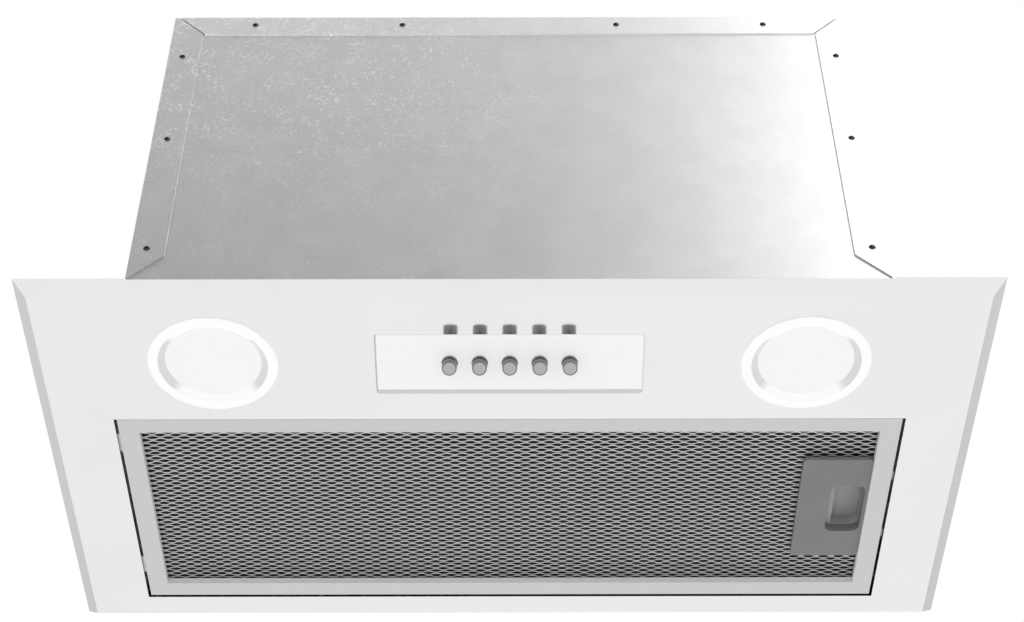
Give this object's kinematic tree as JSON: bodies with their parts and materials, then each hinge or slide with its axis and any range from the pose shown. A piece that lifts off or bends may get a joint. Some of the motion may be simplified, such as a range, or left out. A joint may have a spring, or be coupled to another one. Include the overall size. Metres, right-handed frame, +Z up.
{
  "type": "under cabinet range hood",
  "caption": "Built-in under-cabinet range hood: glossy white bevelled trim, round lamps, push buttons, drop-down grease filter, galvanised case, blower and round duct outlet.",
  "frame": {"origin": "centre of the trim's rim and of the four cabinet screws, in the plane that meets the cabinet's underside", "axes": "+Z up into the cabinet, -Y towards the user, +X to the user's right"},
  "size_m": [0.52, 0.2832, 0.2928],
  "materials": {
    "painted_white": "gloss enamel",
    "white_plastic": "moulded, smooth",
    "lamp_white": "moulded, smooth",
    "rivet_dark": "blackened, bright",
    "galvanised": "zinc spangle, satin",
    "rivet_steel": "plated",
    "spring_steel": "spring temper",
    "black_plastic": "moulded, fine texture",
    "motor_steel": "plated",
    "bronze": "sintered",
    "rubber": "matt",
    "capacitor_case": "smooth",
    "terminal_plastic": "moulded",
    "gland_plastic": "moulded",
    "grey_button": "satin",
    "lamp_diffuser": "opal, frosted",
    "led_board": "white solder mask",
    "aluminium_frame": "satin",
    "aluminium_mesh": "expanded foil",
    "foil_core": "deep layers of foil that trap the light",
    "grey_plastic": "moulded, fine texture",
    "latch_plastic": "moulded, fine texture"
  },
  "bodies": {
    "case": {"base_frame": "galvanised", "cable_gland": "gland_plastic", "capacitor": "capacitor_case", "capacitor_clip": "galvanised", "case_rivets": "rivet_dark", "collar_screws": "rivet_steel", "control_housing": "white_plastic", "damper_pin": "rivet_steel", "face_panel": "painted_white", "front_sheet": "galvanised", "gland_nut": "gland_plastic", "inlet_ring_left": "black_plastic", "inlet_ring_right": "black_plastic", "lamp_bezel_left": "lamp_white", "lamp_bezel_right": "lamp_white", "lamp_clips": "spring_steel", "lamp_lens_left": "lamp_diffuser", "lamp_lens_right": "lamp_diffuser", "led_board_left": "led_board", "led_board_right": "led_board", "led_driver": "black_plastic", "left_side_panel": "galvanised", "motor_bearings": "bronze", "motor_bracket": "galvanised", "motor_can": "motor_steel", "motor_end_cap": "motor_steel", "motor_grommets": "rubber", "motor_screws": "rivet_steel", "motor_stator": "motor_steel", "outlet_adaptor": "black_plastic", "outlet_collar": "black_plastic", "panel_clips": "spring_steel", "rear_panel": "galvanised", "right_side_panel": "galvanised", "scroll_left": "black_plastic", "scroll_right": "black_plastic", "scroll_screws": "rivet_steel", "switch_block": "black_plastic", "switch_carrier": "galvanised", "switch_screws": "rivet_steel", "terminal_block": "terminal_plastic", "terminal_box": "black_plastic", "terminal_box_lid": "black_plastic", "top_panel": "galvanised"},
    "filter": {"filter_frame": "aluminium_frame", "filter_mesh_outer": "aluminium_mesh", "filter_mesh_core": "foil_core", "handle_plate": "grey_plastic", "latch_spring": "spring_steel"},
    "latch": {"latch_slider": "latch_plastic"},
    "impeller": {"impeller": "black_plastic", "motor_shaft": "rivet_steel", "motor_rotor": "motor_steel"},
    "damper_left": {"damper_flap_left": "black_plastic"},
    "damper_right": {"damper_flap_right": "black_plastic"},
    "button_1": {"button_1": "grey_button"},
    "button_2": {"button_2": "grey_button"},
    "button_3": {"button_3": "grey_button"},
    "button_4": {"button_4": "grey_button"},
    "button_5": {"button_5": "grey_button"}
  },
  "joints": [
    {"name": "filter_swing", "type": "hinge", "parent": "case", "child": "filter", "pos_m": [-0.2194, 0.0384, -0.006], "axis": [0, 1, 0], "range_deg": [0, 70]},
    {"name": "latch_slide", "type": "slide", "parent": "filter", "child": "latch", "axis": [-1, 0, 0], "range_m": [0, 0.0039], "stiffness_N_per_m": 250, "springref_m": -0.002, "deforming": ["latch_spring"]},
    {"name": "impeller_spin", "type": "hinge", "parent": "case", "child": "impeller", "pos_m": [0, -0.03, 0.112], "axis": [1, 0, 0], "continuous": true},
    {"name": "damper_left_swing", "type": "hinge", "parent": "case", "child": "damper_left", "pos_m": [0, 0.0333, 0.234], "axis": [0, 1, 0], "range_deg": [0, 75]},
    {"name": "damper_right_swing", "type": "hinge", "parent": "case", "child": "damper_right", "pos_m": [0, 0.0333, 0.234], "axis": [0, -1, 0], "range_deg": [0, 75]},
    {"name": "button_1_press", "type": "slide", "parent": "case", "child": "button_1", "axis": [0, 0.4775, 0.8787], "range_m": [0, 0.003], "stiffness_N_per_m": 400, "springref_m": -0.002},
    {"name": "button_2_press", "type": "slide", "parent": "case", "child": "button_2", "axis": [0, 0.4775, 0.8787], "range_m": [0, 0.003], "stiffness_N_per_m": 400, "springref_m": -0.002},
    {"name": "button_3_press", "type": "slide", "parent": "case", "child": "button_3", "axis": [0, 0.4775, 0.8787], "range_m": [0, 0.003], "stiffness_N_per_m": 400, "springref_m": -0.002},
    {"name": "button_4_press", "type": "slide", "parent": "case", "child": "button_4", "axis": [0, 0.4775, 0.8787], "range_m": [0, 0.003], "stiffness_N_per_m": 400, "springref_m": -0.002},
    {"name": "button_5_press", "type": "slide", "parent": "case", "child": "button_5", "axis": [0, 0.4775, 0.8787], "range_m": [0, 0.003], "stiffness_N_per_m": 400, "springref_m": -0.002}
  ]
}
